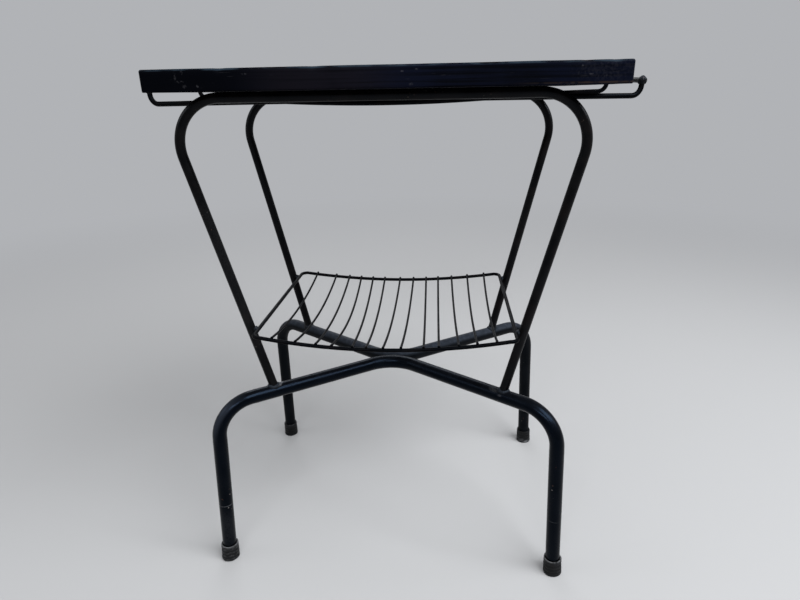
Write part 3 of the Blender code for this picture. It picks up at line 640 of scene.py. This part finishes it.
def footGrid(side, end, seed, dust):
    # radius follows the profile's rows: rounded heel, slightly flared wall with shallow rings, round lip,
    # bore; the outside has slow lumps and a nick in its lip, dust lies where the wear is high, and the
    # wear dips at the rings as painted shade
    bore = tubeRadius + fitGap
    mouth = bore + rubberFoot["wall"]
    tall, edge, halfWall = rubberFoot["height"], rubberFoot["edge"], rubberFoot["wall"] / 2
    rise = np.linspace(edge, tall - halfWall, rubberFoot["wallRows"])
    outside = mouth + rubberFoot["flare"] * (1 - rise / tall) - rubberFoot["ringDepth"] * ringsAt(rise)
    lip = np.linspace(0, np.pi, rubberFoot["lipRows"])[1:-1]
    heel = np.linspace(0, np.pi / 2, rubberFoot["heelRows"])[:-1]
    radius = np.concatenate([outside[0] - edge * (1 - np.sin(heel)), outside,
                             mouth - halfWall + halfWall * np.cos(lip), [bore, bore, bore]])
    height = np.concatenate([edge * (1 - np.cos(heel)), rise, tall - halfWall + halfWall * np.sin(lip),
                             [tall - halfWall, tall / 2, rubberFoot["floor"]]])
    isOutside = np.arange(len(height)) < len(heel) + len(rise) + rubberFoot["lipOutside"]
    around = fullTurn(rubberFoot["columns"])
    upright = height[:, None]
    lumps = np.sin(3 * around + seed)
    lumps = lumps + 0.6 * np.sin(7 * around + 2.1 * seed) * np.sin(400 * upright + seed)
    fromNick = np.angle(np.exp(1j * (around - seed)))
    nick = bell(fromNick, rubberFoot["nickAngle"]) * bell(upright - tall, rubberFoot["nickReach"])
    uneven = rubberFoot["lump"] * lumps - rubberFoot["nickDepth"] * nick - rubberFoot["lump"]
    thick = radius[:, None] + isOutside[:, None] * uneven
    axis = legAxis(side, end)
    acrossX = unit(np.cross(alongY, axis))
    spokes = spokesRound(around, acrossX, np.cross(axis, acrossX))
    points = baseFoot(side, end) + upright[..., None] * axis + thick[..., None] * spokes
    points[..., 2] = np.maximum(points[..., 2] * (upright > 0), 0)  # the heel is flat on the floor
    allOver, onLip, onHeel, climb = dust
    torn = 0.5 + 0.5 * np.sin(4 * around + seed) * np.sin(650 * upright + 2 * around)
    # painted highlight: the lip's wear makes a pale line of dust and painted highlight on its rounded top
    wear = allOver + onLip * bell(upright - tall, rubberFoot["lipReach"])
    # painted shade: the wear dips at the rings so they come out darker
    wear = wear - ringsAt(upright) * isOutside[:, None] + onHeel * bell(upright, climb) * torn
    return mirrored(points, end) + legShift, wear


for number, (end, side, label, tail) in enumerate(frameCorners):
    seed = rubberFoot["seed"] + rubberFoot["seedStep"] * number
    grid, wear = footGrid(side, end, seed, footDust[label])
    addPiece(label + "Foot", grid, footRubber, "frame", "foot_rubber", "foot_" + tail, wear=wear)
print("feet pushed on")

# upper frames: two rods bent to an inverted U, with a weld bead round each foot
upperFrame = dict(
    diameter=0.010, rise=0.3184, length=0.409, spacing=0.208, bendRadius=0.045, standSpacing=0.258,
    step=0.0025, sides=36, flatten=0.022, waver=0.0022, sink=0.0025)
rodRadius = upperFrame["diameter"] / 2
runZ = baseTube["runHeight"] + upperFrame["rise"]
rodWeld = dict(
    toe=0.0028, crown=0.0012, lift=0.0002, rows=110, columns=20, ripple=0.10, ripples=15, longLump=0.16,
    shortLump=0.09, seed=0.8, wear=0.3)


def runCorner(side):
    # where the level run and a front leg would cross
    return np.array([side * upperFrame["length"] / 2, -upperFrame["spacing"] / 2, runZ])


def rodStand(side):
    # point on the front base tube's axis under a rod
    share = upperFrame["standSpacing"] / baseTube["length"]
    return basePoint() * (1 - share) + baseCorner(side) * share


def rodUp(side):
    return unit(runCorner(side) - rodStand(side))


def rodAt(side, height):
    # point on a front rod's axis at this height
    top, stand = runCorner(side), rodStand(side)
    return stand + (top - stand) * (height - stand[2]) / (top[2] - stand[2])


def rodWeldGrid(side, seed):
    # joint line: where the rod's straight side, stand + r * d + h * u, meets the tube, so h solves
    # |h * u' + r * d'| = R with u' and d' taken across the tube; an oval section follows that line
    stand, up = rodStand(side), rodUp(side)
    tube = unit(baseCorner(side) - basePoint())
    first = unit(np.cross(alongY, up))
    around = fullTurn(rodWeld["rows"])
    spoke = spokesRound(around, first, np.cross(up, first))
    upAcross = up - dot(up, tube) * tube
    spokeAcross = rodRadius * (spoke - dot(spoke, tube)[:, None] * tube)
    a, b = dot(upAcross, upAcross), 2 * dot(spokeAcross, upAcross)
    c = dot(spokeAcross, spokeAcross) - tubeRadius ** 2
    climb = (-b + np.sqrt(b ** 2 - 4 * a * c)) / (2 * a)
    line = stand + rodRadius * spoke + climb[:, None] * up
    fromTube = line - stand
    tubeNormal = unit(fromTube - dot(fromTube, tube)[:, None] * tube)
    outwards = unit(spoke + tubeNormal)
    onwards = unit(np.roll(line, -1, axis=0) - np.roll(line, 1, axis=0))
    across = np.cross(onwards, outwards)
    pool = np.abs(np.sin(rodWeld["ripples"] / 2 * around + seed)) - 0.5
    size = 1 + rodWeld["ripple"] * pool + rodWeld["longLump"] * np.sin(2 * around + seed)
    size = size + rodWeld["shortLump"] * np.sin(5 * around - seed)
    turn = fullTurn(rodWeld["columns"])
    oval = (rodWeld["lift"] + rodWeld["crown"] * np.cos(turn))[:, None] * outwards[:, None]
    oval = oval + rodWeld["toe"] * np.sin(turn)[:, None] * across[:, None]
    return line[:, None] + size[:, None, None] * oval


for endName, end in ends.items():
    footPoints = [rodStand(side) + rodUp(side) * (tubeRadius - upperFrame["sink"]) for side in (-1, 1)]
    rodAxis = bentPath([footPoints[0], runCorner(-1), runCorner(1), footPoints[1]],
                       [upperFrame["bendRadius"]] * 2, upperFrame["step"])
    grid = carryRound(mirrored(rodAxis, end) + legShift, rodRadius, upperFrame["sides"], alongY,
                      flatten=upperFrame["flatten"], waver=upperFrame["waver"])
    addPiece(endName + "UpperFrame", grid, enamels["rodEnamel"], "frame", "frame_enamel",
             endName + "_upper_frame")
for number, (end, side, label, tail) in enumerate(frameCorners):
    grid = mirrored(rodWeldGrid(side, rodWeld["seed"] + number), end) + legShift
    addWeld(label + "RodWeld", grid, "rod_weld_" + tail, wrapRows=True, wear=rodWeld["wear"])
print("upper frames welded on")

centreWeld = dict(
    length=0.019, width=0.010, height=0.011, lumps=0.03, ripple=0.10, ripples=9, rows=60, seed=0.6,
    wear=0.3)
halfSize = np.array([centreWeld["width"], centreWeld["height"], centreWeld["length"]]) / 2
grid = lumpyBead(legShift + alongZ * baseTube["runHeight"], np.stack([alongY, alongZ, alongX]), halfSize,
                 centreWeld["seed"], centreWeld["lumps"], centreWeld["ripple"], centreWeld["ripples"],
                 rows=centreWeld["rows"])
addWeld("baseCentreWeld", grid, "base_centre_weld", wear=centreWeld["wear"])
print("base tubes joined")

# magazine rack: a closed wire rim with sagging long sides and thirteen wires across it
rack = dict(
    rise=0.0782, depth=0.2275, sag={-1: 0.012, 1: 0.0092}, rimDiameter=0.0042, rimSides=22,
    rimWaver=0.004, cornerRadius=0.0075, cornerPoints=10, step=0.0018, wireDiameter=0.0026,
    wireSides=16, wireWaver=0.006, wirePoints=110, wireSag=0.0125, wireEnd=0.0012, domeRings=3,
    press=0.0009, frontBent={1: 0.005, 4: -0.006}, nugget=0.22, nuggetLength=0.0018,
    weldSize=(0.0030, 0.0044, 0.0038), weldLumps=0.07, weldSeed=1.1, weldWear=0.4)
rackZ = baseTube["runHeight"] + rack["rise"]
rimRadius, wireRadius = rack["rimDiameter"] / 2, rack["wireDiameter"] / 2
halfDepth = rack["depth"] / 2
lean = np.arctan2(*(runCorner(1) - rodStand(1))[[0, 2]])
rackHalf = rodAt(1, rackZ)[0] - (rodRadius + rimRadius + fitGap) / np.cos(lean)
rimStraight = rackHalf - rack["cornerRadius"]


def rimHeight(end, x):
    # parabola that hangs from the corners: top - sag * (1 - (x / half length) squared)
    return rackZ - rack["sag"][end] * (1 - (x / rimStraight) ** 2)


def rimPath():
    # each long side is a parabola, then two quarter circles and a straight end rail lead to the other one
    loop = []
    count = int(2 * rimStraight / rack["step"])
    for end in (-1, 1):
        x = -end * rimStraight * np.linspace(-1, 1, count)
        loop.append(np.stack([x, 0 * x + end * halfDepth, rimHeight(end, x)], -1))
        for turn, facing in enumerate((end, -end)):
            angle = np.pi / 2 * (turn + np.linspace(0, 1, rack["cornerPoints"])[1 - turn:])
            centre = np.array([-end * rimStraight, facing * (halfDepth - rack["cornerRadius"]), rackZ])
            spoke = np.stack([-end * np.sin(angle), end * np.cos(angle), 0 * angle], -1)
            loop.append(centre + rack["cornerRadius"] * spoke)
            if turn == 0:
                far = centre * (1, -1, 1) + rack["cornerRadius"] * spoke[-1]
                loop.append(straightRun(loop[-1][-1], far, rack["step"])[1:])
        loop[-1] = loop[-1][:-1]
    return np.concatenate(loop)


def wirePlace(node):
    # x where the wire crosses each long side: the solid's two ends, joined by a straight line
    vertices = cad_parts[node].data.vertices
    points = np.empty(3 * len(vertices), np.float32)
    vertices.foreach_get("co", points)
    points = points.reshape(-1, 3).astype(float) - legShift
    tips = {}
    for end in (-1, 1):
        reach = end * points[:, 1]
        tips[end] = points[reach > reach.max() - rimRadius].mean(0)
    slope = (tips[1][0] - tips[-1][0]) / (tips[1][1] - tips[-1][1])
    return {end: tips[end][0] + slope * (end * halfDepth - tips[end][1]) for end in (-1, 1)}


def rackWirePath(place, aside):
    # hangs between the long sides: straight line - sag * (1 - (y / half depth) squared);
    # a wire that was bent aside leaves that line by the cube of the way from the rear to the front
    y = np.linspace(-1, 1, rack["wirePoints"]) * (halfDepth + rack["wireEnd"])
    share = (y / halfDepth + 1) / 2
    x = (1 - share) * place[-1] + share * place[1] + aside * (1 - share) ** 3
    held = {-1: place[-1] + aside, 1: place[1]}
    rest = {end: rimHeight(end, held[end]) for end in (-1, 1)}
    tilt = (rest[1] - rest[-1]) / rack["depth"]
    level = {}
    for end in (-1, 1):
        slope = 2 * rack["wireSag"] / halfDepth + end * tilt
        rimSlope = 2 * rack["sag"][end] * held[end] / rimStraight ** 2
        clear = rimRadius + wireRadius - rack["press"]
        level[end] = rest[end] + clear * np.sqrt(1 + slope ** 2 + rimSlope ** 2)
    z = (1 - share) * level[-1] + share * level[1] - rack["wireSag"] * (1 - (y / halfDepth) ** 2)
    return np.stack([x, y, z], -1)


path = rimPath() + legShift
grid = carryRound(path, rimRadius, rack["rimSides"], alongZ, closed=True, waver=rack["rimWaver"])
addWire("rackRim", grid, "rack_rim", wrapRows=True)
wireNodes = sorted(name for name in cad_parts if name.startswith("rack_wire_"))
for number, node in enumerate(wireNodes, 1):
    hung = rackWirePath(wirePlace(node), rack["frontBent"].get(number, 0.0))
    path, radius = domedEnds(hung, wireRadius, rack["domeRings"])
    touch = bell(np.abs(path[:, 1]) - halfDepth, rack["nuggetLength"])
    grid = carryRound(path + legShift, radius * (1 + rack["nugget"] * touch), rack["wireSides"], alongX,
                      waver=rack["wireWaver"])
    addWire(f"rackWire{number:02d}", grid, node, wear=touch[:, None])
for number, (end, side, label, tail) in enumerate(frameCorners):
    place = rodAt(side, rackZ) - alongX * side * (rodRadius + fitGap / 2) / np.cos(lean)
    axes = np.stack([unit(np.cross(alongY, rodUp(side))), alongY, rodUp(side)])
    bead = lumpyBead(place, axes, np.array(rack["weldSize"]), rack["weldSeed"] + number, rack["weldLumps"])
    grid = mirrored(bead, end) + legShift
    addWeld(label + "RackWeld", grid, "rack_weld_" + tail, wear=rack["weldWear"])
print("rack hung")

# carrying handles: a wire under each run with upturned ends, and a rail across each pair of ends
handle = dict(
    diameter=0.005, boardLength=0.4195, fingerGap=0.0283, width=0.124, rise=0.0180, railRise=0.0135,
    lean=0.0012, bendRadius=0.009, sweepRadius=0.060, sag=0.0026, endLift={-1: -0.001, 1: 0.003},
    tuck=0.0066, step=0.0018, sides=24, waver=0.003, domeRings=5, weldSpacing=0.200, weldLength=0.016,
    weldSize=0.0028, weldSet=0.8, weldLumps=0.05, weldRipple=0.10, weldRipples=7, weldRows=50,
    weldSeed=0.5, weldWear=0.3, railShare=0.98, railWeld=0.0017, railLumps=0.05, railSeed=2.1,
    railWear=0.4)
wireHalf = handle["diameter"] / 2
handleTouch = rodRadius + wireHalf + fitGap
handleDrop = np.sqrt(handleTouch ** 2 - handle["tuck"] ** 2)
handleZ = runZ - handleDrop
runY = handle["tuck"] - upperFrame["spacing"] / 2


def handleCorner(side, end):
    # where the level wire and an upright would cross; the rear wire is mirrored later
    halfLength = handle["boardLength"] / 2 + handle["fingerGap"] + wireHalf
    return np.array([side * halfLength, -handle["width"] / 2, handleZ + handle["endLift"][end]])


def railJoint(side, end):
    # where the axes of an upright and an end rail cross
    railLean = side * handle["lean"] * handle["railRise"] / handle["rise"]
    return handleCorner(side, end) + np.array([railLean, 0, handle["railRise"]])


def handlePath(end):
    # bent at both uprights and where it leaves the run; between its welds it bows down as a parabola
    halves = []
    for side in (-1, 1):
        corner = handleCorner(side, end)
        top = corner + np.array([side * handle["lean"], 0, handle["rise"]])
        leaves = np.array([side * (handle["weldSpacing"] / 2 + handle["weldLength"]), runY, handleZ])
        weldEnd = np.array([side * (handle["weldSpacing"] - handle["weldLength"]) / 2, runY, handleZ])
        halves.append(bentPath([top, corner, leaves, weldEnd],
                               [handle["bendRadius"], handle["sweepRadius"]], handle["step"]))
    halfBow = halves[1][-1][0]
    share = np.linspace(-1, 1, int(2 * halfBow / handle["step"]))[1:-1]
    bow = np.stack([halfBow * share, 0 * share + runY, handleZ - handle["sag"] * (1 - share ** 2)], -1)
    return np.concatenate([halves[0], bow, halves[1][::-1]])


for endName, end in ends.items():
    path, radius = domedEnds(mirrored(handlePath(end), end), wireHalf, handle["domeRings"])
    grid = carryRound(path, radius, handle["sides"], alongY, waver=handle["waver"])
    addWire(endName + "HandleWire", grid, "handle_wire_" + endName)
for sideName, side in sides.items():
    front, rear = railJoint(side, -1), mirrored(railJoint(side, 1), 1)
    path = np.concatenate([straightRun(front, rear, handle["step"]), rear[None]])
    grid = carryRound(path, wireHalf * handle["railShare"], handle["sides"], alongZ, waver=handle["waver"])
    addWire(sideName + "HandleRail", grid, "handle_rail_" + sideName)
groove = np.array([0, handle["tuck"], -handleDrop]) / handleTouch
intoGroove = np.cross(groove, -alongX)
for number, (end, side, label, tail) in enumerate(frameCorners):
    run = np.array([side * handle["weldSpacing"] / 2, -upperFrame["spacing"] / 2, runZ])
    place = run + groove * (rodRadius + fitGap / 2) + intoGroove * handle["weldSize"] * handle["weldSet"]
    halfSize = np.array([handle["weldSize"], handle["weldSize"], handle["weldLength"] / 2])
    bead = lumpyBead(place, np.stack([groove, intoGroove, alongX]), halfSize, handle["weldSeed"] + number,
                     handle["weldLumps"], handle["weldRipple"], handle["weldRipples"], handle["weldRows"])
    addWeld(label + "HandleWeld", mirrored(bead, end), "handle_weld_" + tail, wear=handle["weldWear"])
    halfSize = np.full(3, wireHalf + handle["railWeld"])
    bead = lumpyBead(railJoint(side, end), np.stack([alongX, alongZ, alongY]), halfSize,
                     handle["railSeed"] + number, handle["railLumps"])
    addWeld(label + "RailWeld", mirrored(bead, end), "rail_weld_" + tail, wear=handle["railWear"])
print("handles fitted")

# floor, light and camera; a lamp has a name, place, target, width and height, and power in watts
studio = dict(
    floorColour=(0.39, 0.385, 0.38), floorRough=0.8, floorSpecular=0.2, floorHalf=9.0,
    floorSpan=(0.7, 2.4), backColour=(0.44, 0.45, 0.47), lampColour=(0.93, 0.96, 1.0),
    lamps=[("softbox", (1.15, -0.85, 1.95), (0, 0, 0.25), (1.45, 1.3), 60.0),
           ("front", (-0.1, -1.9, 1.5), (0, 0, 0.3), (1.2, 0.5), 18.0),
           ("leftSide", (-2.2, -0.6, 1.4), (0, 0, 0.3), (1.2, 0.9), 7.0),
           ("rightSide", (2.2, -0.2, 1.6), (0, 0, 0.3), (1.0, 1.0), 14.0),
           ("behind", (-0.5, 2.0, 1.7), (0, 0, 0.3), (1.6, 1.0), 16.0)])
photoCamera = dict(
    place=(0.0575, -0.6439, 0.5263), turn=-0.0837, tilt=0.357, roll=0.01895, focalPixels=560.0,
    pixelsWide=800, sensorWidth=36.0, clipStart=0.01)


def makeFloor():
    # plain pale floor that fades with distance into the background's colour
    half = studio["floorHalf"]
    corner = np.array([(-half, -half, 0), (half, -half, 0), (half, half, 0), (-half, half, 0)])
    mesh = bpy.data.meshes.new("floor")
    mesh.from_pydata(corner.tolist(), [], [(0, 1, 2, 3)])
    paint = Finish("paleFloor", studio)
    shader = paint.fill(paint.tree.nodes["Principled BSDF"], {
        "Base Color": "floorColour", "Roughness": "floorRough", "Specular IOR Level": "floorSpecular"})
    share = paint.fade(paint.length(paint.place), "floor")
    glow = paint.add("ShaderNodeEmission", {"Color": "backColour"})
    mixer = paint.add("ShaderNodeMixShader", {0: share, 1: shader.outputs[0], 2: glow.outputs[0]})
    paint.fill(paint.tree.nodes["Material Output"], {"Surface": mixer.outputs[0]})
    mesh.materials.append(paint.material)
    floor = bpy.data.objects.new("floor", mesh)
    scene.collection.objects.link(floor)


def facingMatrix(place, right, down):
    # camera and lamp axes: x to the right, y up, z backwards
    right, down, place = unit(right), unit(down), np.array(place)
    rotation = np.stack([right, -down, np.cross(right, -down), place], -1)
    return Matrix(np.vstack([rotation, [0, 0, 0, 1]]).tolist())


def addLamps():
    for name, place, target, size, power in studio["lamps"]:
        lamp = bpy.data.lights.new(name, "AREA")
        lamp.shape, lamp.energy, lamp.color = "RECTANGLE", power, studio["lampColour"]
        lamp.size, lamp.size_y = size
        forward = unit(np.array(target, float) - np.array(place))
        right = unit(np.cross(forward, alongZ))
        holder = bpy.data.objects.new(name, lamp)
        holder.matrix_world = facingMatrix(place, right, np.cross(forward, right))
        scene.collection.objects.link(holder)


def addCamera():
    # looks along yaw and pitch, then rolls the picture about its own middle
    turn, tilt, roll = (photoCamera[angle] for angle in ("turn", "tilt", "roll"))
    forward = np.array([np.sin(turn) * np.cos(tilt), np.cos(turn) * np.cos(tilt), -np.sin(tilt)])
    right = np.array([np.cos(turn), -np.sin(turn), 0])
    down = np.cross(forward, right)
    lens = bpy.data.cameras.new("photoCamera")
    lens.sensor_width = photoCamera["sensorWidth"]
    lens.lens = photoCamera["focalPixels"] * lens.sensor_width / photoCamera["pixelsWide"]
    lens.clip_start = photoCamera["clipStart"]
    holder = bpy.data.objects.new("photoCamera", lens)
    holder.matrix_world = facingMatrix(photoCamera["place"], right * np.cos(roll) + down * np.sin(roll),
                                       down * np.cos(roll) - right * np.sin(roll))
    scene.collection.objects.link(holder)
    scene.camera = holder


makeFloor()
addLamps()
addCamera()
world = bpy.data.worlds.new("studio")
world.use_nodes = True
world.node_tree.nodes["Background"].inputs["Color"].default_value = (*studio["backColour"], 1)
scene.world = world
print("studio lit")
